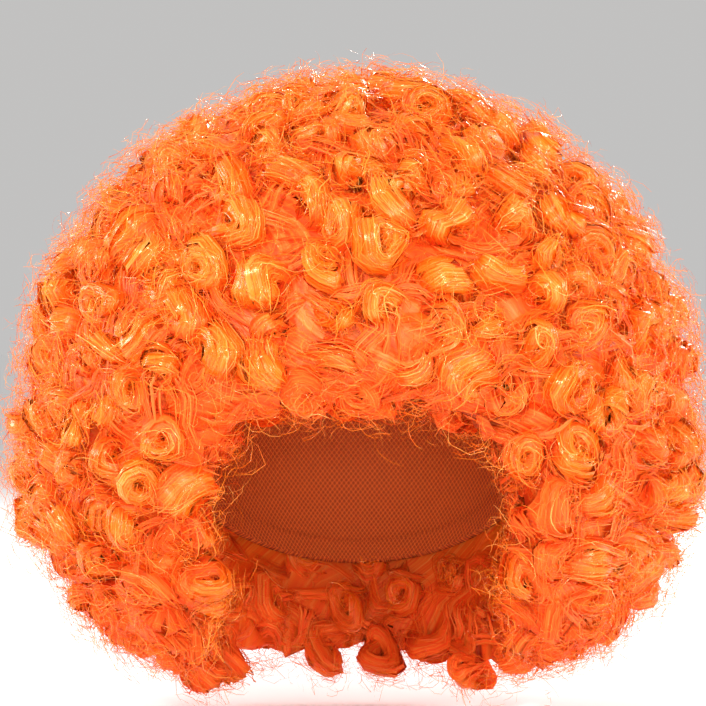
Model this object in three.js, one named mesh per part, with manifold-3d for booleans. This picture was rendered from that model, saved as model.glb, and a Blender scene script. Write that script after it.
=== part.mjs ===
// A curly wig: a close-fitting cap with wefts of ringlets sewn to it, in the form that it takes on a head.
// Millimetres, +Z up, with the wearer looking along -Y and the wearer's left at +X.
// The origin is the point inside the cap where the crown of the head touches it.
import * as THREE from "three";
import { ConvexHull } from "three/addons/math/ConvexHull.js";
import Module from "manifold-3d";

const wasm = await Module();
wasm.setup();

// The head that the cap fits, as half sizes of an ellipsoid whose top is the origin
const HEAD_HALF_WIDTH = 76;
const HEAD_HALF_LENGTH = 96;
const HEAD_HALF_HEIGHT = 96;

// The cap: a stretch-net dome with an elastic hem that is folded to the inside
const CAP_WALL = 1.8;
const HEM_WALL = 3.2;
const HEM_WIDTH = 10;
const RIM_DROP_AT_FOREHEAD = 52;
const RIM_DROP_AT_NAPE = 150;
const CAP_SEGMENTS = 24;
const CAP_RINGS = 12;

// The openings in the hair for the face and the neck
const FACE_HALF_WIDTH = 62;
const FACE_TOP = -79;
const FACE_BOTTOM = -204;
const FACE_CORNER = 34;
const FACE_SCALLOPS = 16;
const SCALLOP_DEPTH = 4;
const NECK_HALF_WIDTH = 60;
const NECK_FRONT = -70;
const NECK_BACK = 66;
const NECK_TOP = -100;
const LIP_WIDTH = 20;
const LIP_DEPTH = 17;

// The outer form of the hair: its reach from the middle of the hair at each height,
// to either side, to the front and to the back
const HAIR_MIDDLE = new THREE.Vector3(0, 4, -70);
const FORM_SECTIONS = [
  { elevation: -90, side: 128, front: 128, back: 128 },
  { elevation: -62, side: 144, front: 132, back: 142 },
  { elevation: -42, side: 153, front: 134, back: 148 },
  { elevation: -20, side: 151, front: 138, back: 150 },
  { elevation: 0, side: 143, front: 142, back: 149 },
  { elevation: 30, side: 137, front: 142, back: 144 },
  { elevation: 60, side: 132, front: 136, back: 137 },
  { elevation: 90, side: 132, front: 132, back: 132 },
];

// The ringlets: each is a rolled knob of hair, whose ring climbs as it turns round a hollow
const RINGLET_COUNT = 484;
const RING_SHARE = 0.62;
const RING_TWIST = 0.4;
const RING_RISE = 5.0;
const RING_CLIMB = 3.0;
const HOLLOW_RISE = 3.0;
const VALLEY_DROP = 6.5;
const SIZE_SPREAD = 0.3;
const PLACE_SPREAD = 0.16;

// The wefts, each named by the part of the head it covers. Azimuth 0 is the front, and 90 the wearer's left.
const WEFTS = [
  { name: "crown_weft", azimuth: 180, elevation: 82 },
  { name: "fringe_weft", azimuth: 0, elevation: 30 },
  { name: "temple_weft_left", azimuth: 72, elevation: 26 },
  { name: "temple_weft_right", azimuth: -72, elevation: 26 },
  { name: "side_weft_left", azimuth: 68, elevation: -32 },
  { name: "side_weft_right", azimuth: -68, elevation: -32 },
  { name: "back_weft", azimuth: 180, elevation: 20 },
  { name: "nape_weft", azimuth: 180, elevation: -42 },
];

// Gaps that keep the pieces clear of each other
const SEAT_GAP = 0.3;
const WEFT_INSET = 0.0024;
const FAR = 400;

const GOLDEN_ANGLE = Math.PI * (3 - Math.sqrt(5));
const RINGLET_SPACING = Math.sqrt((4 * Math.PI) / RINGLET_COUNT);

// A repeatable number from 0 to 1 for item i of a list, one for each use
function scatter(i, use) {
  const wave = Math.sin(i * 127.1 + use * 311.7) * 43758.5453;
  return wave - Math.floor(wave);
}

function pointing(azimuth, elevation) {
  const a = THREE.MathUtils.degToRad(azimuth);
  const e = THREE.MathUtils.degToRad(elevation);
  return new THREE.Vector3(Math.sin(a) * Math.cos(e), -Math.cos(a) * Math.cos(e), Math.sin(e));
}

function solidOf(positions, triangles) {
  return new wasm.Manifold(
    new wasm.Mesh({
      numProp: 3,
      vertProperties: Float32Array.from(positions),
      triVerts: Uint32Array.from(triangles),
    }),
  );
}

// A closed three.js geometry as a solid, with the vertices that its faces share merged
function solidFrom(geometry) {
  const found = new Map();
  const positions = [];
  const place = geometry.getAttribute("position");
  const order = geometry.index ? geometry.index.array : [...Array(place.count).keys()];
  const corners = Array.from(order, (i) => {
    const point = [place.getX(i), place.getY(i), place.getZ(i)].map((x) => Math.round(x * 1e4) / 1e4 + 0);
    const key = point.join();
    if (!found.has(key)) {
      found.set(key, positions.length / 3);
      positions.push(...point);
    }
    return found.get(key);
  });
  const triangles = [];
  for (let i = 0; i < corners.length; i += 3) {
    const [a, b, c] = corners.slice(i, i + 3);
    if (a !== b && b !== c && c !== a) triangles.push(a, b, c);
  }
  return solidOf(positions, triangles);
}

function geometryOf(solid) {
  const mesh = solid.getMesh();
  const geometry = new THREE.BufferGeometry();
  geometry.setAttribute("position", new THREE.BufferAttribute(mesh.vertProperties, 3));
  geometry.setIndex(new THREE.BufferAttribute(mesh.triVerts, 1));
  geometry.computeVertexNormals();
  return geometry;
}

// The head's ellipsoid with its surface moved out by a distance
function headGrownBy(distance) {
  const ball = new THREE.SphereGeometry(1, CAP_SEGMENTS, CAP_RINGS);
  ball.rotateX(Math.PI / 2);
  ball.scale(HEAD_HALF_WIDTH + distance, HEAD_HALF_LENGTH + distance, HEAD_HALF_HEIGHT + distance);
  ball.translate(0, 0, -HEAD_HALF_HEIGHT);
  return solidFrom(ball);
}

// Everything above the sloping plane of the cap's rim, raised by a distance along the plane's normal
function aboveRim(raised) {
  const reach = (drop) => {
    const share = (HEAD_HALF_HEIGHT - drop) / HEAD_HALF_HEIGHT;
    return HEAD_HALF_LENGTH * Math.sqrt(1 - share * share);
  };
  const front = reach(RIM_DROP_AT_FOREHEAD);
  const nape = reach(RIM_DROP_AT_NAPE);
  const slope = Math.atan2(RIM_DROP_AT_NAPE - RIM_DROP_AT_FOREHEAD, front + nape);
  const block = new THREE.BoxGeometry(FAR, FAR, FAR);
  block.translate(0, 0, FAR / 2 + raised);
  block.rotateX(-slope);
  block.translate(0, -front, -RIM_DROP_AT_FOREHEAD);
  return solidFrom(block);
}

function capSolid() {
  const outside = headGrownBy(CAP_WALL);
  const dome = outside.subtract(headGrownBy(0)).intersect(aboveRim(0));
  const hemInside = headGrownBy(CAP_WALL - HEM_WALL);
  const hem = outside.subtract(hemInside).intersect(aboveRim(0)).subtract(aboveRim(HEM_WIDTH));
  return dome.add(hem);
}

// The arch that the face looks out through, from the front of the hair to the head.
// Its edge is scalloped by the ringlets that hang round it.
function faceOpening() {
  const shoulder = FACE_TOP - FACE_CORNER;
  const inner = FACE_HALF_WIDTH - FACE_CORNER;
  const edge = new THREE.Path();
  edge.moveTo(-FACE_HALF_WIDTH, FACE_BOTTOM);
  edge.lineTo(-FACE_HALF_WIDTH, shoulder);
  edge.absarc(-inner, shoulder, FACE_CORNER, Math.PI, Math.PI / 2, true);
  edge.lineTo(inner, FACE_TOP);
  edge.absarc(inner, shoulder, FACE_CORNER, Math.PI / 2, 0, true);
  edge.lineTo(FACE_HALF_WIDTH, FACE_BOTTOM);
  const arch = new THREE.Shape();
  arch.moveTo(-FACE_HALF_WIDTH, -FAR);
  arch.lineTo(-FACE_HALF_WIDTH, FACE_BOTTOM);
  edge.getSpacedPoints(FACE_SCALLOPS).forEach((next) => {
    const last = arch.currentPoint.clone();
    const length = last.distanceTo(next);
    if (length < 1) return;
    const bulge = next.clone().sub(last).rotateAround(new THREE.Vector2(), -Math.PI / 2);
    const middle = last.clone().add(next).divideScalar(2);
    const control = middle.addScaledVector(bulge, (2 * SCALLOP_DEPTH) / length);
    arch.quadraticCurveTo(control.x, control.y, next.x, next.y);
  });
  arch.lineTo(FACE_HALF_WIDTH, -FAR);
  const tunnel = new THREE.ExtrudeGeometry(arch, { depth: FAR, bevelEnabled: false, curveSegments: 4 });
  tunnel.rotateX(Math.PI / 2);
  return solidFrom(tunnel);
}

// The hollow below the head for the jaw and the neck, with a round back
function neckOpening() {
  const outline = new THREE.Shape();
  const roundFrom = NECK_BACK - NECK_HALF_WIDTH;
  outline.moveTo(-NECK_HALF_WIDTH, NECK_FRONT);
  outline.lineTo(NECK_HALF_WIDTH, NECK_FRONT);
  outline.lineTo(NECK_HALF_WIDTH, roundFrom);
  outline.absarc(0, roundFrom, NECK_HALF_WIDTH, 0, Math.PI);
  outline.closePath();
  const column = new THREE.ExtrudeGeometry(outline, { depth: FAR, bevelEnabled: false, curveSegments: 14 });
  column.translate(0, 0, NECK_TOP - FAR);
  return solidFrom(column);
}

// How far the hair reaches from its middle in a direction, without the ringlets
function formReach(direction) {
  const elevation = THREE.MathUtils.radToDeg(Math.asin(THREE.MathUtils.clamp(direction.z, -1, 1)));
  const above = FORM_SECTIONS.findIndex((s) => s.elevation >= elevation - 1e-6);
  const upper = FORM_SECTIONS[Math.max(above, 1)];
  const lower = FORM_SECTIONS[Math.max(above, 1) - 1];
  const t = THREE.MathUtils.smoothstep(elevation, lower.elevation, upper.elevation);
  const at = (column) => THREE.MathUtils.lerp(lower[column], upper[column], t);
  const level = Math.hypot(direction.x, direction.y) || 1;
  const sideways = (direction.x / level) ** 2;
  const lengthways = direction.y < 0 ? at("front") : at("back");
  return THREE.MathUtils.lerp(lengthways, at("side"), sideways);
}

// How far the hair is drawn in near the edge of the face opening, so that the edge is round
function lipDepth(direction) {
  if (direction.y > 0) return 0;
  const point = direction.clone().multiplyScalar(formReach(direction)).add(HAIR_MIDDLE);
  const beyond = new THREE.Vector2(
    Math.abs(point.x) - FACE_HALF_WIDTH + FACE_CORNER,
    point.z - FACE_TOP + FACE_CORNER,
  );
  const outside = Math.hypot(Math.max(beyond.x, 0), Math.max(beyond.y, 0)) - FACE_CORNER;
  return LIP_DEPTH * (1 - THREE.MathUtils.smoothstep(outside, 0, LIP_WIDTH));
}

// The middle of each ringlet, spread evenly over all directions with a little disorder
function ringletDirections() {
  return Array.from({ length: RINGLET_COUNT }, (_, i) => {
    const height = 1 - (2 * i + 1) / RINGLET_COUNT;
    const turn = GOLDEN_ANGLE * i;
    const level = Math.sqrt(1 - height * height);
    const direction = new THREE.Vector3(Math.cos(turn) * level, Math.sin(turn) * level, height);
    const shift = new THREE.Vector3(scatter(i, 1) - 0.5, scatter(i, 2) - 0.5, scatter(i, 3) - 0.5);
    return direction.addScaledVector(shift, PLACE_SPREAD * RINGLET_SPACING * 2).normalize();
  });
}

// The valleys between ringlets, where three of them meet, and the ring of valleys round each ringlet in turn
function valleysBetween(middles) {
  const hull = new ConvexHull().setFromPoints(middles);
  const numbers = new Map(middles.map((middle, i) => [middle, i]));
  const steps = middles.map(() => new Map());
  const valleys = hull.faces.map((face, valley) => {
    const edges = [face.edge, face.edge.next, face.edge.next.next];
    const [a, b, c] = edges.map((edge) => numbers.get(edge.head().point));
    steps[a].set(b, { valley, to: c });
    steps[b].set(c, { valley, to: a });
    steps[c].set(a, { valley, to: b });
    return new THREE.Vector3().add(middles[a]).add(middles[b]).add(middles[c]).normalize();
  });
  const rings = steps.map((around) => {
    let at = around.keys().next().value;
    return Array.from(around, () => {
      const { valley, to } = around.get(at);
      at = to;
      return valley;
    });
  });
  return { valleys, rings };
}

// The surface of the hair: points with a direction and a rise above the form, and each ringlet's triangles
function hairSurface(middles) {
  const { valleys, rings } = valleysBetween(middles);
  const points = valleys.map((direction) => ({ direction, rise: -VALLEY_DROP }));
  const ringlets = middles.map((middle, i) => {
    const size = 1 + SIZE_SPREAD * (scatter(i, 4) - 0.5);
    const outer = rings[i];
    const count = outer.length;
    const hollow = points.push({ direction: middle, rise: HOLLOW_RISE * size }) - 1;
    const inner = outer.map((valley, k) => {
      const between = valleys[valley].clone().lerp(valleys[outer[(k + 1) % count]], RING_TWIST);
      const direction = middle.clone().lerp(between, RING_SHARE * size).normalize();
      const climb = RING_CLIMB * (k / (count - 1) - 0.5);
      return points.push({ direction, rise: (RING_RISE + climb) * size }) - 1;
    });
    return outer.flatMap((valley, k) => {
      const next = (k + 1) % count;
      return [
        [hollow, inner[k], inner[next]],
        [inner[k], valley, outer[next]],
        [inner[k], outer[next], inner[next]],
      ];
    });
  });
  return { points, ringlets };
}

// A weft: the triangles of its ringlets, set in along their border to stay clear of the next weft,
// and closed by walls that run in to the middle of the hair
function weftSolid(points, triangles) {
  const edges = new Set();
  for (const [a, b, c] of triangles) [[a, b], [b, c], [c, a]].forEach((edge) => edges.add(edge.join()));
  const pairs = [...edges].map((edge) => edge.split(",").map(Number));
  const border = pairs.filter(([a, b]) => !edges.has([b, a].join()));
  const inward = points.map(() => new THREE.Vector3());
  for (const [from, to] of border) {
    const along = points[to].direction.clone().sub(points[from].direction);
    const normal = points[from].direction.clone().cross(along).normalize();
    [from, to].forEach((i) => inward[i].add(normal));
  }
  const positions = points.flatMap(({ direction, rise }, i) => {
    const reach = formReach(direction) - lipDepth(direction) + rise;
    const bend = Math.max(inward[i].lengthSq() / 2, 0.5);
    const inset = direction.clone().addScaledVector(inward[i], WEFT_INSET / bend);
    return inset.multiplyScalar(reach).add(HAIR_MIDDLE).toArray();
  });
  positions.push(...HAIR_MIDDLE.toArray());
  const walls = border.map(([from, to]) => [to, from, points.length]);
  return solidOf(positions, [...triangles, ...walls].flat());
}

// The largest of the bodies that a cut leaves, without the crumbs at its edges
function largestBody(solid) {
  return solid.decompose().reduce((best, body) => (body.volume() > best.volume() ? body : best));
}

const middles = ringletDirections();
const { points, ringlets } = hairSurface(middles);
const axes = WEFTS.map((weft) => pointing(weft.azimuth, weft.elevation));
const nearestWeft = middles.map((middle) => {
  const nearness = axes.map((axis) => axis.dot(middle));
  return nearness.indexOf(Math.max(...nearness));
});
const hollow = headGrownBy(CAP_WALL + SEAT_GAP).add(faceOpening()).add(neckOpening());

const netCap = new THREE.MeshStandardMaterial({ color: 0xc9501c, roughness: 0.85, metalness: 0 });
const orangeHair = new THREE.MeshStandardMaterial({ color: 0xf46e2c, roughness: 0.42, metalness: 0 });

const wig = new THREE.Group();
const cap = new THREE.Mesh(geometryOf(capSolid()), netCap);
cap.name = "cap";
wig.add(cap);

WEFTS.forEach((weft, number) => {
  const own = ringlets.filter((_, i) => nearestWeft[i] === number).flat();
  const solid = largestBody(weftSolid(points, own).subtract(hollow));
  const mesh = new THREE.Mesh(geometryOf(solid), orangeHair);
  mesh.name = weft.name;
  wig.add(mesh);
});

export default wig;
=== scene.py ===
import math

import bpy
import numpy as np
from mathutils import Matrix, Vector
from mathutils.bvhtree import BVHTree


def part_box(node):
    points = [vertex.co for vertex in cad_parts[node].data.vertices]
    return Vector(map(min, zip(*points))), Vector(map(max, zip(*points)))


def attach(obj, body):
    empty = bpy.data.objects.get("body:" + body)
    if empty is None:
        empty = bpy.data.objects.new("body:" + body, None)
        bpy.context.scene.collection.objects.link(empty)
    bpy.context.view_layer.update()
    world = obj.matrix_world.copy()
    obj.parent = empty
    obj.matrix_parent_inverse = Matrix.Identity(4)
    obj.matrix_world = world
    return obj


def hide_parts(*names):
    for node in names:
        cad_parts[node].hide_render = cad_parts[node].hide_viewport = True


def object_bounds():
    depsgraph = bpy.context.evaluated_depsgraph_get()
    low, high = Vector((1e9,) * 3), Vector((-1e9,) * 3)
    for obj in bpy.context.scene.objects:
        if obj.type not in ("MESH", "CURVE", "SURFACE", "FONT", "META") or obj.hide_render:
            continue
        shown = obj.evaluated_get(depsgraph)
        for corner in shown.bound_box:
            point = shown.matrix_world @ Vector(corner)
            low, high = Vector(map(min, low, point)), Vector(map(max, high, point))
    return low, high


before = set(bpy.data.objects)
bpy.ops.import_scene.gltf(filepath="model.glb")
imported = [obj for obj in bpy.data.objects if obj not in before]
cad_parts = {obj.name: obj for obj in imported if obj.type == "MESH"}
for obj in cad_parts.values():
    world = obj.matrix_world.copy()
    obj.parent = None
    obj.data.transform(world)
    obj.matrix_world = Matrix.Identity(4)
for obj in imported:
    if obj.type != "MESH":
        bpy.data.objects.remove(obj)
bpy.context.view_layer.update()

# The cap: a dome of knitted stretch net that grips the head, dyed to match the hair.
# Its edge is turned to the inside and stitched down over an elastic.
CAP_WALL = 0.0018
HEM_WALL = 0.0032
HEM_WIDTH = 0.010
CAP_SEGMENTS = 72
CAP_RINGS = 36
cap_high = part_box("cap")[1]
CAP_HALF_WIDTH = cap_high[0]
CAP_HALF_LENGTH = cap_high[1]
CAP_MIDDLE_Z = cap_high[2] - CAP_HALF_LENGTH
RIM_FRONT = Vector((0, -0.0853, -0.052))
RIM_NAPE = Vector((0, 0.0794, -0.150))
NET_STITCHES = (300, 150, 1)
# The holes of the knit are coloured a darker red than the thread: the hair behind the net, with painted
# shade
NET_HOLE_SHADE_COLOURS = [(0.50, 0.065, 0.005, 1), (0.54, 0.072, 0.005, 1)]
NET_THREAD_COLOUR = (0.90, 0.19, 0.02, 1)

bpy.ops.object.select_all(action="DESELECT")
rim_slope = (RIM_NAPE - RIM_FRONT).normalized()
rim_normal = Vector((0, -rim_slope.z, rim_slope.y))


def cap_band(name, wall, highest):
    """The part of the dome between the rim and a plane above it, as a wall that grows to the inside."""
    bpy.ops.mesh.primitive_uv_sphere_add(segments=CAP_SEGMENTS, ring_count=CAP_RINGS, radius=1)
    band = bpy.context.object
    band.name = name
    band.scale = (CAP_HALF_WIDTH, CAP_HALF_LENGTH, CAP_HALF_LENGTH)
    band.location = (0, 0, CAP_MIDDLE_Z)
    bpy.ops.object.transform_apply(location=True, rotation=True, scale=True)
    bpy.ops.object.mode_set(mode="EDIT")
    bpy.ops.mesh.select_all(action="SELECT")
    bpy.ops.mesh.bisect(plane_co=RIM_FRONT, plane_no=rim_normal, clear_inner=True)
    if highest is not None:
        band_top = RIM_FRONT + rim_normal * highest
        bpy.ops.mesh.select_all(action="SELECT")
        bpy.ops.mesh.bisect(plane_co=band_top, plane_no=rim_normal, clear_outer=True)
    bpy.ops.object.mode_set(mode="OBJECT")
    wall_modifier = band.modifiers.new("wall", "SOLIDIFY")
    wall_modifier.thickness = wall
    wall_modifier.offset = -1
    bpy.ops.object.modifier_apply(modifier="wall")
    return band


hem = cap_band("hem", HEM_WALL, HEM_WIDTH)
cap = cap_band("cap_net", CAP_WALL, None)
hem.select_set(True)
bpy.ops.object.join()
bpy.ops.object.shade_smooth_by_angle(angle=math.radians(40))

net = bpy.data.materials.new("net")
net.use_nodes = True
net_nodes = net.node_tree.nodes
net_links = net.node_tree.links
net_shader = net_nodes["Principled BSDF"]
net_shader.inputs["Roughness"].default_value = 0.8
net_place = net_nodes.new("ShaderNodeTexCoord")
net_turn = net_nodes.new("ShaderNodeMapping")
net_turn.inputs["Scale"].default_value = NET_STITCHES
net_turn.inputs["Rotation"].default_value = (0, 0, math.radians(45))
net_links.new(net_place.outputs["UV"], net_turn.inputs["Vector"])
net_mesh = net_nodes.new("ShaderNodeTexBrick")
net_mesh.offset = 0
net_mesh.inputs["Scale"].default_value = 1
net_mesh.inputs["Mortar Size"].default_value = 0.16
net_mesh.inputs["Mortar Smooth"].default_value = 0.6
net_mesh.inputs["Brick Width"].default_value = 1
net_mesh.inputs["Row Height"].default_value = 1
net_mesh.inputs["Color1"].default_value = NET_HOLE_SHADE_COLOURS[0]
net_mesh.inputs["Color2"].default_value = NET_HOLE_SHADE_COLOURS[1]
net_mesh.inputs["Mortar"].default_value = NET_THREAD_COLOUR
net_links.new(net_turn.outputs["Vector"], net_mesh.inputs["Vector"])
net_links.new(net_mesh.outputs["Color"], net_shader.inputs["Base Color"])
net_bump = net_nodes.new("ShaderNodeBump")
net_bump.inputs["Strength"].default_value = 0.8
net_bump.inputs["Distance"].default_value = 0.0005
net_links.new(net_mesh.outputs["Fac"], net_bump.inputs["Height"])
net_links.new(net_bump.outputs["Normal"], net_shader.inputs["Normal"])
cap.data.materials.clear()
cap.data.materials.append(net)
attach(cap, "root")
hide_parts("cap")

# The wefts: glossy synthetic fibre, set in tight ringlets by heat and sewn to the cap in bands.
# Each ringlet is a lock of oval section wound into a coil, with loose strands and frizz round it.
# The ringlets stand over locks that lie in waves on the mass of hair, and stray fibres stand beyond them.
HAIR_MIDDLE = np.array([0, 0.004, -0.070])
ANY_ANGLE = (0, 6.28)
HANGING_BELOW = -0.5
weft_names = [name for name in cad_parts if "weft" in name]
chance = np.random.default_rng(7)


def smooth_step(low, high, x):
    """A smooth rise from 0 at the low value to 1 at the high value."""
    t = np.clip((x - low) / (high - low), 0, 1)
    return t * t * (3 - 2 * t)


def unit(vectors):
    """The vectors with length 1."""
    return vectors / np.maximum(np.linalg.norm(vectors, axis=-1, keepdims=True), 1e-9)


def between(limits, *shape):
    """Random numbers, spread evenly between two limits."""
    return chance.uniform(limits[0], limits[1], shape)


def triangles_of(node):
    """The corners of each triangle of a solid."""
    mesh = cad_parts[node].data
    mesh.calc_loop_triangles()
    places = np.empty(len(mesh.vertices) * 3)
    mesh.vertices.foreach_get("co", places)
    corners = np.empty(len(mesh.loop_triangles) * 3, dtype=np.int32)
    mesh.loop_triangles.foreach_get("vertices", corners)
    return places.reshape(-1, 3)[corners.reshape(-1, 3)]


solids = {node: triangles_of(node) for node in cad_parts}
all_triangles = np.concatenate(list(solids.values()))
tree = BVHTree.FromPolygons(
    all_triangles.reshape(-1, 3).tolist(),
    np.arange(len(all_triangles) * 3).reshape(-1, 3).tolist(),
)

# The faces of the wefts that nothing covers, with their middles, normals and areas
COVERED_WITHIN = 0.004
CLEAR_OF_FACE = 5e-5
LEAST_FACE_AREA = 1e-8
weft_triangles = np.concatenate([solids[name] for name in weft_names])
face_weft = np.concatenate([np.full(len(solids[name]), i) for i, name in enumerate(weft_names)])
first_side = weft_triangles[:, 1] - weft_triangles[:, 0]
second_side = weft_triangles[:, 2] - weft_triangles[:, 0]
face_cross = np.cross(first_side, second_side)
face_area = np.linalg.norm(face_cross, axis=1) / 2
face_normal = unit(face_cross)
face_middle = weft_triangles.mean(axis=1)
is_open = np.array([
    tree.ray_cast(Vector(place + normal * CLEAR_OF_FACE), Vector(normal), COVERED_WITHIN)[0] is None
    for place, normal in zip(face_middle, face_normal)
])
open_faces = np.flatnonzero(is_open & (face_area > LEAST_FACE_AREA))
open_middle = face_middle[open_faces]
open_weight = face_area[open_faces, None]
open_normal = face_normal[open_faces]


def points_on_hair(count):
    """Random points on the open faces, and the weft that each is on."""
    faces = chance.choice(open_faces, size=count, p=open_weight[:, 0] / open_weight.sum())
    a, b = chance.random((2, count, 1))
    folded = a + b > 1
    a = np.where(folded, 1 - a, a)
    b = np.where(folded, 1 - b, b)
    corners = weft_triangles[faces]
    places = corners[:, 0] + a * (corners[:, 1] - corners[:, 0]) + b * (corners[:, 2] - corners[:, 0])
    return places, face_weft[faces]


def local_form(places, reach):
    """Each place moved to the mean height of the open faces round it, and their mean normal."""
    normals = np.empty_like(places)
    heights = np.empty_like(places)
    for i, place in enumerate(places):
        distance = np.sum((open_middle - place) ** 2, axis=1)
        near = distance < max(reach * reach, distance.min() * 1.01)
        normals[i] = (open_normal[near] * open_weight[near]).sum(axis=0)
        heights[i] = (open_middle[near] * open_weight[near]).sum(axis=0) / open_weight[near].sum()
    normals = unit(normals)
    lift = np.sum((heights - places) * normals, axis=1, keepdims=True)
    return places + normals * lift, normals


def well_spaced(places, spacing):
    """The numbers of places that keep their own distance from each other, taken in order."""
    kept = []
    for i, place in enumerate(places):
        if not kept or np.min(np.sum((places[kept] - place) ** 2, axis=1)) > spacing[i] ** 2:
            kept.append(i)
    return np.array(kept)


def is_inside(places, out):
    """Whether each place is on a wall that faces the head or the neck."""
    return np.sum((places - HAIR_MIDDLE) * out, axis=1) < 0


SHADE_INSIDE = 0.28
SHADE_BELOW = 0.25


def shade(places, out):
    """How much painted shade lowers the value of the fibres where they face the head or the ground, so that
    they are painted darker and redder there.
    """
    facing_down = smooth_step(0.1, 0.8, -out[:, 2])
    return np.where(is_inside(places, out), SHADE_INSIDE, SHADE_BELOW * facing_down)


RUFFLES = 8
RUFFLE_LENGTH = (0.012, 0.026)
RUFFLE_SIZE = 0.0008
ruffle_waves = chance.normal(size=(RUFFLES, 3, 1))
ruffle_waves = ruffle_waves / np.linalg.norm(ruffle_waves, axis=1, keepdims=True)
ruffle_waves = ruffle_waves * 2 * math.pi / between(RUFFLE_LENGTH, RUFFLES, 1, 1)
ruffle_phases = between(ANY_ANGLE, RUFFLES)
ruffle_sizes = RUFFLE_SIZE * chance.normal(size=(RUFFLES, 3))


def ruffled(path):
    """Paths moved by waves that run through all of the hair, so that no coil keeps a true circle."""
    for wave, phase, size in zip(ruffle_waves, ruffle_phases, ruffle_sizes):
        path = path + np.sin(path @ wave + phase) * size
    return path


def fibres(path, facing, width, tone, along, wefts):
    """One group of ribbons as flat lists: paths, facings, widths, tones, painted-shade values and wefts."""
    path = ruffled(path)
    count = np.prod(path.shape[:-2])
    points = path.shape[-2]
    return [
        path.reshape(count, points, 3),
        np.broadcast_to(facing, path.shape).reshape(count, points, 3),
        np.broadcast_to(width, path.shape[:-1]).reshape(count, points),
        np.broadcast_to(tone, path.shape[:-2] + (1,)).reshape(count),
        np.broadcast_to(along, path.shape[:-1]).reshape(count, points),
        np.repeat(wefts, count // len(wefts)),
    ]


def only(group, kept):
    """The ribbons of a group that are kept."""
    return [part[kept.ravel()] for part in group]


# How the ringlets stand: their spacing, their size and the lean of their coils
RINGLET_TRIES = 6000
RINGLET_SPACING = 0.0182
INSIDE_SPACING = 1.25
RINGLET_REACH = 0.009
HOLLOW_REACH = 0.020
RINGLET_HEIGHT = (-0.002, 0.003)
RINGLET_RADIUS = (0.0085, 0.0135)
RADIUS_SPREAD = (0.85, 1.12)
RINGLET_TONE = (0.10, 0.85)
RINGLET_LIFT = (0.004, 0.009)
INSIDE_LIFT = 0.001
HANGING_LIFT = 0.003
TILT_DEGREES = (15, 72)
INSIDE_TILT = 0.3
HANGING_TILT_DEGREES = 55
HANGING_TILT_SPREAD = 0.3
HANGING_TURN = 0.4

# How a lock is wound, with its section as shares of the coil's radius and its lengths in metres
OPEN_LOCK_SHARE = 0.2
OPEN_LOCK_SIZE = 1.2
LOCK_WIDTH = (0.40, 0.50)
LOCK_HEIGHT = (0.42, 0.70)
TIGHTENING = (0.25, 0.65)
PITCH = (0.001, 0.004)
OPEN_TURNS = (0.5, 0.75)
COIL_TURNS = (1.2, 1.8)
STRETCH = (0.86, 1.16)
ROOT_DEPTH = (0.003, 0.009)
ROOT_END = 0.3
END_NARROWING = 0.85
FULL_FROM = 0.25
FULL_TO = 0.70
COIL_UNEVEN = 0.10
COIL_WOBBLE = 0.0012

# The painted-shade value that a fibre of a ringlet has at each height above the solid: the deeper it lies,
# the darker and redder it is painted, and the rougher it is
DEEPEST_VALUE = 0.28
VALUE_RANGE = 0.67
DEEPEST = 0.011
HEIGHT_RANGE = 0.015
VALUE_LIMITS = (0.22, 0.95)

# The body of a lock
BODY_BANDS = 9
BODY_POINTS = 18
BAND_SHIFT = (-0.15, 0.15)
BAND_SWAY = 0.12
BAND_SWAY_TURN = (2, 6)
BODY_ABOVE = -0.0015
BODY_ROUGHNESS = 0.0002
BAND_OVERLAP = 1.3
BAND_TONE = (-0.1, 0.1)
# The body is given a lower value, so it is painted in deeper shade than the strands over it
BODY_VALUE = -0.14

# The strands round a lock
STRANDS = 66
STRAND_POINTS = 8
STRAND_WIDTH = (0.00025, 0.00060)
STRAND_START = (-0.05, 0.70)
STRAND_LENGTH = (0.25, 0.45)
STRAND_SECTION = (-1.8, 3.4)
STRAND_DRIFT = (-1.4, 1.4)
LOOSE_SHARE = 0.40
LOOSE_SIZE = 1.7
STRAND_LOWEST = -0.0011
STRAND_SHELL = 0.0028
STRAND_SCATTER = 0.0007
STRAND_ASTRAY = 0.0045
STRAND_TURN = 0.25
STRAND_TONE = (-0.2, 0.2)
# The strands get a little more value than the body, so they are painted lighter, as lit fibres over it
STRAND_VALUE = 0.04

# The frizz over a lock, with the radius and the spread of its curls as shares of the coil's radius
FRIZZ_FIBRES = 55
FRIZZ_POINTS = 6
FRIZZ_WIDTH = (0.00012, 0.00024)
FRIZZ_TIP = 0.55
FRIZZ_ARC = (1.6, 4.4)
FRIZZ_RADIUS = (0.13, 0.58)
FRIZZ_RISE = 0.005
FRIZZ_SPREAD = 0.45
FRIZZ_LIFT = (0.45, 0.98)
FRIZZ_TONE = (-0.25, 0.25)
# The frizz gets a little more value too, so it is painted lighter than the body
FRIZZ_VALUE = 0.05
FRIZZ_INSIDE = 0.6


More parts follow.
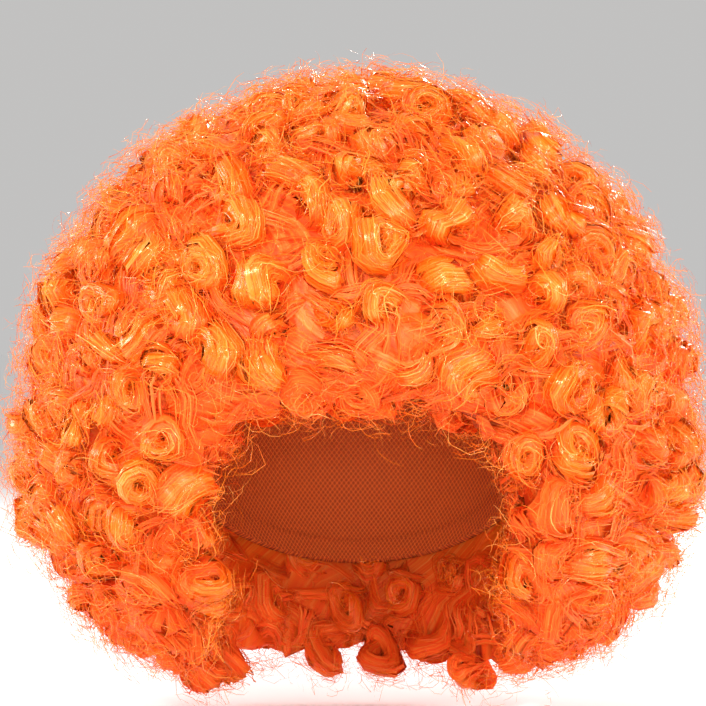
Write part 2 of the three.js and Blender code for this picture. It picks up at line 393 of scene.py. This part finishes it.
def ringlet_fibres():
    """The bodies, strands and frizz of the ringlets, the largest of them where the solid stands highest."""
    places, wefts = points_on_hair(RINGLET_TRIES)
    near = local_form(places, RINGLET_REACH)[0]
    far, out = local_form(places, HOLLOW_REACH)
    height = np.sum((near - far) * out, axis=1)
    order = np.argsort(-height)
    spacing = np.where(is_inside(near, out), INSIDE_SPACING, 1.0) * RINGLET_SPACING
    chosen = order[well_spaced(near[order], spacing[order])]
    n = len(chosen)
    near = near[chosen]
    out = out[chosen]
    wefts = wefts[chosen]
    full = smooth_step(*RINGLET_HEIGHT, height[chosen]).reshape(n, 1, 1)
    tone = between(RINGLET_TONE, n, 1, 1)

    # The axis of each coil leans from the surface of the hair, more often down than up
    sideways = unit(np.cross(out, chance.normal(size=(n, 3))))
    hang = np.array([0, 0, -1.0]) + out * out[:, 2:3]
    lean = unit(sideways + hang * between((0, 1), n, 1))
    inside = is_inside(near, out)
    in_shade = shade(near, out).reshape(n, 1, 1)
    tilt = np.radians(between(TILT_DEGREES, n, 1)) * np.where(inside, INSIDE_TILT, 1)[:, None]

    # At the lower edge it leans outwards, so that the round of the coil is seen from the side
    hanging = out[:, 2] < HANGING_BELOW
    level_out = unit((near - HAIR_MIDDLE) * [1, 1, 0])
    hanging_lean = unit(level_out + HANGING_TURN * sideways)
    hanging_tilt = np.radians(HANGING_TILT_DEGREES) + HANGING_TILT_SPREAD * tilt
    lean = np.where(hanging[:, None], hanging_lean, lean)
    tilt = np.where(hanging[:, None], hanging_tilt, tilt)
    axis = unit(out * np.cos(tilt) + lean * np.sin(tilt))
    first = unit(np.cross(axis, out + 0.01 * sideways))
    second = np.cross(axis, first)

    # A ringlet is a lock of oval section that is wound into a coil, or is open and bends part of the way
    is_open_lock = chance.random((n, 1, 1)) < OPEN_LOCK_SHARE
    low, high = RINGLET_RADIUS
    coil = (low + (high - low) * full) * between(RADIUS_SPREAD, n, 1, 1)
    coil = coil * np.where(is_open_lock, OPEN_LOCK_SIZE, 1)
    wide = coil * between(LOCK_WIDTH, n, 1, 1)
    tall = coil * between(LOCK_HEIGHT, n, 1, 1)
    tighten = between(TIGHTENING, n, 1, 1)
    pitch = between(PITCH, n, 1, 1)
    open_turns = between(OPEN_TURNS, n, 1, 1)
    coil_turns = between(COIL_TURNS, n, 1, 1)
    turns = np.where(is_open_lock, open_turns, coil_turns) * 2 * math.pi
    hand = chance.choice([-1.0, 1.0], size=(n, 1, 1))
    start = between(ANY_ANGLE, n, 1, 1)
    stretch = between(STRETCH, n, 1, 1)
    rooted = between(ROOT_DEPTH, n, 1, 1)
    level = np.abs(np.sum(axis * out, axis=1)).reshape(n, 1, 1)
    reach = level * (tall + pitch / 2) + np.sqrt(1 - level**2) * coil
    near, out, axis, first, second = [v[:, None, None] for v in (near, out, axis, first, second)]
    lift = np.where(hanging, HANGING_LIFT, between(RINGLET_LIFT, n))
    lift = np.where(inside, INSIDE_LIFT, lift).reshape(n, 1, 1)
    middle = near + out * (lift - reach)[..., None]

    def painted_shade_by_height(path):
        """The painted-shade value along each path, which is low deep between the ringlets, where the fibres
        are painted darker, and lowered again where they face the head or the ground.
        """
        height = np.sum((path - near) * out, axis=-1)
        value = DEEPEST_VALUE + VALUE_RANGE * (height + DEEPEST) / HEIGHT_RANGE
        return np.clip(value - in_shade, *VALUE_LIMITS)

    def narrowed(t):
        """The share of its full section that a lock has, which is small at the root and at the tip."""
        at_root = END_NARROWING * (1 - smooth_step(0, FULL_FROM, t))
        at_tip = END_NARROWING * smooth_step(FULL_TO, 1, t)
        return 1 - at_root - at_tip

    def wound(t, section, above):
        """Paths and facings along each lock, at an angle round its section and a height above it."""
        angle = start + hand * turns * t
        taper = narrowed(t)
        spoke = first * (stretch * np.cos(angle))[..., None]
        spoke = spoke + second * (np.sin(angle) / stretch)[..., None]
        uneven = 1 + COIL_UNEVEN * np.sin(2 * angle + start * 5)
        wobble = COIL_WOBBLE * np.sin(angle + start * 3)
        away = (coil - wide) * (1 - tighten * t) * uneven + (wide * taper + above) * np.cos(section)
        rise = pitch * (t - 0.5) + (tall * taper + above) * np.sin(section) + wobble
        sink = rooted * (1 - smooth_step(0, ROOT_END, t))
        path = middle + spoke * away[..., None] + axis * rise[..., None] - out * sink[..., None]
        facing = spoke * (np.cos(section) / wide)[..., None] + axis * (np.sin(section) / tall)[..., None]
        return path, unit(facing)

    # The body of each lock, as bands side by side round its section
    shape = (n, BODY_BANDS, 1)
    step = 2 * math.pi / BODY_BANDS
    t = np.linspace(0, 1, BODY_POINTS).reshape(1, 1, -1)
    section = step * (np.arange(BODY_BANDS).reshape(1, -1, 1) + between(BAND_SHIFT, *shape))
    section = section + BAND_SWAY * np.sin(between(BAND_SWAY_TURN, *shape) * t + between(ANY_ANGLE, *shape))
    path, facing = wound(t, section, BODY_ABOVE + BODY_ROUGHNESS * chance.normal(size=shape))
    width = BAND_OVERLAP * step * np.hypot(wide * np.sin(section), tall * np.cos(section)) * narrowed(t)
    own_tone = np.clip(tone + between(BAND_TONE, *shape), 0, 0.9)
    body = fibres(path, facing, width, own_tone, painted_shade_by_height(path) + BODY_VALUE, wefts)

    # The strands that lie along the body, some of them looser than the others
    shape = (n, STRANDS, 1)
    s = np.linspace(0, 1, STRAND_POINTS).reshape(1, 1, -1)
    t = between(STRAND_START, *shape) + between(STRAND_LENGTH, *shape) * s
    section = between(STRAND_SECTION, *shape) + between(STRAND_DRIFT, *shape) * (s - 0.5)
    loose = np.where(chance.random(shape) < LOOSE_SHARE, LOOSE_SIZE, 1)
    above = STRAND_LOWEST + STRAND_SHELL * loose * between((0, 1), *shape)
    path, facing = wound(t, section, above)
    path = path + STRAND_SCATTER * chance.normal(size=(n, STRANDS, 1, 3))
    astray = STRAND_ASTRAY * loose * (s - 0.5) * np.abs(s - 0.5)
    path = path + astray[..., None] * chance.normal(size=(n, STRANDS, 1, 3))
    facing = facing + STRAND_TURN * chance.normal(size=(n, STRANDS, 1, 3))
    thin, broad = STRAND_WIDTH
    width = thin + (broad - thin) * between((0, 1), *shape) ** 2
    width = width * (1 - 0.75 * np.abs(2 * s - 1) ** 3)
    own_tone = np.clip(tone + between(STRAND_TONE, *shape), 0, 0.98)
    strands = fibres(path, facing, width, own_tone, painted_shade_by_height(path) + STRAND_VALUE, wefts)

    # The frizz: small curls of single fibres over the outer side of each ringlet, each tipped its own way
    shape = (n, FRIZZ_FIBRES, 1)
    t = np.linspace(0, 1, FRIZZ_POINTS).reshape(1, 1, -1)
    own_axis = unit(0.5 * axis + out + FRIZZ_TIP * chance.normal(size=(n, FRIZZ_FIBRES, 1, 3)))
    own_first = unit(np.cross(own_axis, first + 0.3 * second))
    own_second = np.cross(own_axis, own_first)
    angle = between(ANY_ANGLE, *shape) + hand * between(FRIZZ_ARC, *shape) * t
    small, large = FRIZZ_RADIUS
    away = coil * (small + (large - small) * between((0, 1), *shape) ** 1.5) * (1 + 0.5 * (t - 0.5))
    rise = FRIZZ_RISE * (t - 0.5) * between((-1, 1), *shape)
    spoke = own_first * np.cos(angle)[..., None] + own_second * np.sin(angle)[..., None]
    sideways = coil[..., None] * FRIZZ_SPREAD * chance.normal(size=(n, FRIZZ_FIBRES, 1, 3))
    sideways = sideways - out * np.sum(sideways * out, axis=-1, keepdims=True)
    lifted = reach * between(FRIZZ_LIFT, *shape)
    path = middle + out * lifted[..., None] + sideways
    path = path + spoke * away[..., None] + own_axis * rise[..., None]
    facing = unit(spoke + own_axis * between((-1, 1), *shape)[..., None])
    width = between(FRIZZ_WIDTH, *shape) * (1 - 0.6 * np.abs(2 * t - 1) ** 3)
    own_tone = np.clip(tone + between(FRIZZ_TONE, *shape), 0, 0.98)
    frizz = fibres(path, facing, width, own_tone, painted_shade_by_height(path) + FRIZZ_VALUE, wefts)
    share = np.where(inside, FRIZZ_INSIDE, 1)[:, None]
    frizz = only(frizz, np.arange(FRIZZ_FIBRES) < share * FRIZZ_FIBRES)
    return [body, strands, frizz]


# The wavy locks between the ringlets
WAVE_TRIES = 7000
WAVE_REACH = 0.017
WAVE_SPACING = 0.0142
WAVE_POINTS = 6
WAVE_SWING = (0.003, 0.008)
WAVE_SWING_TURN = (2.5, 5)
WAVE_DEPTH = (0.002, 0.006)
WAVE_LENGTH = (0.022, 0.034)
WAVE_HALF_WIDTH = 0.0050
WAVE_TONE = (0.1, 0.85)
# The waves lie deep between the ringlets and get low values, so they are painted in shade; those inside get
# deeper painted shade
WAVE_VALUE = 0.36
INSIDE_WAVE_DEPTH = 0.001
INSIDE_WAVE_LENGTH = 0.6
INSIDE_WAVE_VALUE = 0.26

# Count of ribbons, range of their widths, how much deeper they lie, and how much lower their painted-shade
# value is
WAVE_LAYERS = [
    (4, (0.001, 0.002), 0.001, 0.1),
    (6, (0.0002, 0.0005), 0, 0),
]


def wave_fibres():
    """The locks under the ringlets, which lie in waves: broad ribbons, and strands over them."""
    places, wefts = points_on_hair(WAVE_TRIES)
    places, out = local_form(places, WAVE_REACH)
    chosen = well_spaced(places, np.full(len(places), WAVE_SPACING))
    n = len(chosen)
    places = places[chosen]
    out = out[chosen]
    inside = is_inside(places, out).reshape(n, 1, 1)
    flow = unit(np.cross(out, chance.normal(size=(n, 3))))
    side = np.cross(out, flow)
    places, out, flow, side = [v[:, None, None] for v in (places, out, flow, side)]
    t = np.linspace(-0.5, 0.5, WAVE_POINTS).reshape(1, 1, -1)
    swing = np.sin(between(WAVE_SWING_TURN, n, 1, 1) * t + between(ANY_ANGLE, n, 1, 1))
    swing = between(WAVE_SWING, n, 1, 1) * swing
    deep = np.where(inside, INSIDE_WAVE_DEPTH, between(WAVE_DEPTH, n, 1, 1))
    level = np.where(inside, INSIDE_WAVE_VALUE, WAVE_VALUE)
    tone = between(WAVE_TONE, n, 1, 1)
    groups = []
    for count, widths, deeper, lower in WAVE_LAYERS:
        shape = (n, count, 1)
        place = between((-1, 1), *shape)
        sideways = swing + WAVE_HALF_WIDTH * place * (1 + t * between((-1, 1), *shape))
        depth = deep + deeper + 0.004 * (2 * t) ** 2 + 0.002 * place**2
        depth = depth + between((-0.001, 0.001), *shape)
        along = t * between(WAVE_LENGTH, *shape) * np.where(inside, INSIDE_WAVE_LENGTH, 1)
        path = places + flow * along[..., None] + side * sideways[..., None] - out * depth[..., None]
        facing = out + 0.35 * side * place[..., None] + 0.2 * chance.normal(size=shape + (3,))
        width = between(widths, *shape) * (1 - 0.7 * smooth_step(0.3, 0.5, np.abs(t)))
        own_tone = np.clip(tone + between((-0.15, 0.15), *shape), 0, 0.94)
        # Painted shade: the value sets how dark and red each wave is painted, a little lighter towards one
        # end
        groups.append(fibres(path, facing, width, own_tone, level + 0.12 * t - lower, wefts[chosen]))
    return groups


# The stray fibres
STRAY_FIBRES = 6500
STRAY_POINTS = 6
STRAY_WIDTH = (0.00013, 0.00022)
STRAY_INSIDE = 0.2
STRAY_RADIUS = (0.0020, 0.0055)
STRAY_ARC = (1.8, 5.0)
STRAY_START = (-0.006, 0.002)
STRAY_TONE = (0.2, 0.96)
# Painted shade of a stray fibre: its root in the hair is painted darker, its tip lighter
STRAY_SHADED_ROOT_VALUE = 0.6
STRAY_VALUE_RANGE = 0.35


def stray_fibres():
    """The short fibres that have left their ringlets."""
    places, wefts = points_on_hair(2 * STRAY_FIBRES)
    nearest = [np.argmin(np.sum((open_middle - place) ** 2, axis=1)) for place in places]
    out = face_normal[open_faces[nearest]]
    is_wanted = ~is_inside(places, out) | (chance.random(len(places)) < STRAY_INSIDE)
    kept = np.flatnonzero(is_wanted)[:STRAY_FIBRES]
    places = places[kept]
    wefts = wefts[kept]
    out = out[kept]
    n = len(kept)
    heading = unit(np.cross(out, chance.normal(size=(n, 3))) + out * chance.normal(0.1, 0.4, (n, 1)))
    bend = unit(np.cross(heading, chance.normal(size=(n, 3))) - 0.3 * out)
    radius = between(STRAY_RADIUS, n, 1)
    arc = between(STRAY_ARC, n, 1)
    t = np.linspace(0, 1, STRAY_POINTS).reshape(1, -1)
    forward = (radius * np.sin(arc * t))[..., None]
    aside = (radius * (1 - np.cos(arc * t)))[..., None]
    start = places + out * between(STRAY_START, n, 1)
    path = start[:, None] + heading[:, None] * forward + bend[:, None] * aside
    facing = unit(out + 0.5 * chance.normal(size=(n, 3)))[:, None]
    width = between(STRAY_WIDTH, n, 1) * (1 - 0.6 * t**2)
    # Painted shade: darker at the root, lighter at the tip, and darker where it faces the head or the
    # ground
    along = STRAY_SHADED_ROOT_VALUE - shade(places, out)[:, None] + STRAY_VALUE_RANGE * t
    return [fibres(path, facing, width, between(STRAY_TONE, n, 1), along, wefts)]


# The mass of hair, drawn in from the open sides of the solid but by no more than a share of its thickness
CORE_REACH = 0.022
CORE_PROBE = 0.009
CORE_DEPTH = 0.0095
CORE_SHARE = 0.4
CORE_HANGING = 0.5


def core_of(name):
    """The corners of a weft's mass of hair, the corners of each of its triangles, and their UVs."""
    own = np.flatnonzero(face_weft == weft_names.index(name))
    corners = weft_triangles[own].reshape(-1, 3)
    unique, where = np.unique(np.round(corners, 6), axis=0, return_inverse=True)
    where = where.reshape(-1)
    on_open = np.zeros(len(unique), dtype=bool)
    on_open[where[np.repeat(is_open[own], 3)]] = True
    level, normal = local_form(unique[on_open], CORE_REACH)
    through = [tree.ray_cast(Vector(a - b * CORE_PROBE), Vector(-b))[3] for a, b in zip(level, normal)]
    thickness = CORE_PROBE + np.array([0.0 if far is None else far for far in through])
    depth = np.minimum(CORE_DEPTH, CORE_SHARE * thickness)
    depth = depth * np.where(normal[:, 2] < HANGING_BELOW, CORE_HANGING, 1)
    unique[on_open] = level - normal * depth[:, None]
    away = unit(unique - HAIR_MIDDLE)
    bearing = np.arctan2(away[:, 0], -away[:, 1])
    combed = 2 * bearing + 3 * away[:, 2] + 0.3 * np.sin(9 * away[:, 2])
    # The mass is given a low value, so it is painted in deep shade, as the dark hollows between the
    # ringlets
    uv = np.stack([0.5 + 0.45 * np.sin(combed), 0.26 + 0.08 * np.sin(9 * away[:, 2])], axis=1)
    return unique, where, uv


ROUNDING = 0.35
TONE_PER_WIDTH = 16


def hair_object(name, groups):
    """One mesh of a weft's mass and all of its fibres, with tone and painted-shade value as its UVs."""
    core, core_loops, core_uv = core_of(name)
    places = [core]
    loops = [core_loops]
    sizes = [np.full(len(core_loops) // 3, 3)]
    uvs = [core_uv[core_loops]]
    normals = [np.zeros_like(core)]
    used = len(core)
    for path, facing, width, tone, along, wefts in groups:
        own = wefts == weft_names.index(name)
        path = path[own]
        width = width[own]
        forward = unit(np.gradient(path, axis=1))
        across = unit(np.cross(forward, facing[own]))
        front = np.cross(across, forward)
        half = across * width[..., None] / 2
        edges = np.stack([path - half, path + half], axis=2)
        rounded = np.stack([front - ROUNDING * across, front + ROUNDING * across], axis=2)
        corner = used + np.arange(edges.size // 3).reshape(edges.shape[:3])
        this, following = corner[:, :-1], corner[:, 1:]
        quads = np.stack([this[..., 0], this[..., 1], following[..., 1], following[..., 0]], axis=-1)
        u = tone[own][:, None, None] + np.stack([0 * width, TONE_PER_WIDTH * width], axis=2)
        v = np.broadcast_to(along[own][..., None], u.shape)
        places.append(edges.reshape(-1, 3))
        normals.append(unit(rounded).reshape(-1, 3))
        loops.append(quads.reshape(-1))
        sizes.append(np.full(quads.size // 4, 4))
        uvs.append(np.stack([u, v], axis=-1).reshape(-1, 2)[quads.reshape(-1) - used])
        used += edges.size // 3
    sizes = np.concatenate(sizes)
    mesh = bpy.data.meshes.new(name)
    mesh.vertices.add(used)
    mesh.vertices.foreach_set("co", np.concatenate(places).astype(np.float32).ravel())
    mesh.loops.add(sizes.sum())
    mesh.loops.foreach_set("vertex_index", np.concatenate(loops).astype(np.int32))
    mesh.polygons.add(len(sizes))
    mesh.polygons.foreach_set("loop_start", (np.cumsum(sizes) - sizes).astype(np.int32))
    mesh.polygons.foreach_set("loop_total", sizes.astype(np.int32))
    mesh.polygons.foreach_set("use_smooth", np.ones(len(sizes), dtype=bool))
    mesh.update()
    mesh.normals_split_custom_set_from_vertices(np.concatenate(normals).tolist())
    uv_map = mesh.uv_layers.new(name="OFBake")
    uv_map.data.foreach_set("uv", np.concatenate(uvs).astype(np.float32).ravel())
    hair = bpy.data.objects.new(name + "_ringlets", mesh)
    bpy.context.scene.collection.objects.link(hair)
    return hair


# The fibre: streaks of tone along each ribbon, with painted shade that makes it a deeper red, and rougher,
# where it lies deep in the hair or faces the head or the ground
fibre = bpy.data.materials.new("fibre")
fibre.use_nodes = True
fibre_nodes = fibre.node_tree.nodes
fibre_links = fibre.node_tree.links
fibre_shader = fibre_nodes["Principled BSDF"]
fibre_shader.inputs["Specular IOR Level"].default_value = 0.8
fibre_shader.inputs["Specular Tint"].default_value = (1.0, 0.72, 0.44, 1)
fibre_place = fibre_nodes.new("ShaderNodeUVMap")
fibre_place.uv_map = "OFBake"
fibre_stretch = fibre_nodes.new("ShaderNodeMapping")
fibre_stretch.inputs["Scale"].default_value = (75, 2, 1)
fibre_links.new(fibre_place.outputs["UV"], fibre_stretch.inputs["Vector"])
fibre_tone = fibre_nodes.new("ShaderNodeTexNoise")
fibre_tone.inputs["Scale"].default_value = 1
fibre_tone.inputs["Detail"].default_value = 3
fibre_links.new(fibre_stretch.outputs["Vector"], fibre_tone.inputs["Vector"])
fibre_colour = fibre_nodes.new("ShaderNodeValToRGB")
fibre_colour.color_ramp.elements[0].position = 0.36
fibre_colour.color_ramp.elements[0].color = (0.96, 0.13, 0.004, 1)
fibre_colour.color_ramp.elements[1].position = 0.70
fibre_colour.color_ramp.elements[1].color = (1.0, 0.48, 0.13, 1)
fibre_middle = fibre_colour.color_ramp.elements.new(0.54)
fibre_middle.color = (0.98, 0.27, 0.018, 1)
fibre_links.new(fibre_tone.outputs["Fac"], fibre_colour.inputs["Fac"])
fibre_parts = fibre_nodes.new("ShaderNodeSeparateXYZ")
fibre_links.new(fibre_place.outputs["UV"], fibre_parts.inputs["Vector"])
# Painted shade: a low value multiplies the tone by a deep red, so that fibres deep in the hair are painted
# darker and redder
fibre_painted_shade = fibre_nodes.new("ShaderNodeValToRGB")
fibre_painted_shade.color_ramp.elements[0].position = 0.20
fibre_painted_shade.color_ramp.elements[0].color = (0.98, 0.45, 0.25, 1)
fibre_painted_shade.color_ramp.elements[1].position = 0.80
fibre_painted_shade.color_ramp.elements[1].color = (1, 1, 1, 1)
fibre_links.new(fibre_parts.outputs["Y"], fibre_painted_shade.inputs["Fac"])
# The base colour is the tone times the painted shade
fibre_mix = fibre_nodes.new("ShaderNodeMix")
fibre_mix.data_type = "RGBA"
fibre_mix.blend_type = "MULTIPLY"
fibre_mix.inputs["Factor"].default_value = 1
fibre_links.new(fibre_colour.outputs["Color"], fibre_mix.inputs["A"])
fibre_links.new(fibre_painted_shade.outputs["Color"], fibre_mix.inputs["B"])
fibre_links.new(fibre_mix.outputs["Result"], fibre_shader.inputs["Base Color"])
fibre_rough = fibre_nodes.new("ShaderNodeMapRange")
fibre_rough.inputs["From Min"].default_value = 0.1
fibre_rough.inputs["From Max"].default_value = 0.5
fibre_rough.inputs["To Min"].default_value = 0.8
fibre_rough.inputs["To Max"].default_value = 0.17
fibre_links.new(fibre_parts.outputs["Y"], fibre_rough.inputs["Value"])
fibre_links.new(fibre_rough.outputs["Result"], fibre_shader.inputs["Roughness"])
fibre_bump = fibre_nodes.new("ShaderNodeBump")
fibre_bump.inputs["Strength"].default_value = 0.7
fibre_bump.inputs["Distance"].default_value = 0.0005
fibre_links.new(fibre_tone.outputs["Fac"], fibre_bump.inputs["Height"])
fibre_links.new(fibre_bump.outputs["Normal"], fibre_shader.inputs["Normal"])

fibre_groups = ringlet_fibres() + wave_fibres() + stray_fibres()
for name in weft_names:
    hair = hair_object(name, fibre_groups)
    hair.data.materials.append(fibre)
    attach(hair, "root")
    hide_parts(name)

# The floor and the light of a plain pale studio, with the camera level with the hair.
# The floor is almost white and runs far beyond the part, so that no near edge of it shows.
FLOOR_SIZE = 400
FLOOR_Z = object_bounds()[0][2] - 0.0005
bpy.ops.object.select_all(action="DESELECT")
bpy.ops.mesh.primitive_plane_add(size=FLOOR_SIZE, location=(0, 0, FLOOR_Z))
floor = bpy.context.object
floor.name = "floor"
bpy.ops.object.transform_apply(location=True, rotation=True, scale=True)
pale = bpy.data.materials.new("pale")
pale.use_nodes = True
pale_shader = pale.node_tree.nodes["Principled BSDF"]
pale_shader.inputs["Base Color"].default_value = (0.98, 0.98, 0.98, 1)
pale_shader.inputs["Roughness"].default_value = 1
pale_shader.inputs["Specular IOR Level"].default_value = 0
floor.data.materials.append(pale)

world = bpy.data.worlds.new("studio")
bpy.context.scene.world = world
world.use_nodes = True
world.node_tree.nodes["Background"].inputs["Color"].default_value = (1.0, 0.99, 0.98, 1)
world.node_tree.nodes["Background"].inputs["Strength"].default_value = 0.54

LIGHT_AIM = Vector((0, 0, -0.08))


def soft_light(name, place, size, power):
    """A square light of a size in metres and a power in watts, turned to the part."""
    lamp = bpy.data.lights.new(name, "AREA")
    lamp.size = size
    lamp.energy = power
    light = bpy.data.objects.new(name, lamp)
    light.location = place
    light.rotation_euler = (LIGHT_AIM - Vector(place)).to_track_quat("-Z", "Y").to_euler()
    bpy.context.scene.collection.objects.link(light)


soft_light("key", (-0.8, -1.4, 0.8), 0.22, 19)
soft_light("fill", (0.9, -1.4, 0.5), 0.30, 11)
soft_light("front", (0.0, -1.9, 0.0), 0.35, 10)
soft_light("back", (0.6, 1.6, 0.9), 0.4, 24)
soft_light("right", (-1.6, 0.5, 0.5), 0.5, 12)
soft_light("left", (1.6, 0.5, 0.5), 0.5, 12)

CAMERA_DISTANCE = 1.30
CAMERA_SIDE = -0.0022
CAMERA_HEIGHT = -0.054
PIXEL_SIZE = 0.000434
FRAME_PIXELS = 706
camera = bpy.data.objects.new("camera", bpy.data.cameras.new("camera"))
camera.data.lens = camera.data.sensor_width * CAMERA_DISTANCE / (PIXEL_SIZE * FRAME_PIXELS)
camera.location = (CAMERA_SIDE, -CAMERA_DISTANCE, CAMERA_HEIGHT)
camera.rotation_euler = (math.radians(90), 0, 0)
bpy.context.scene.collection.objects.link(camera)
bpy.context.scene.camera = camera
bpy.context.scene.view_settings.view_transform = "Standard"
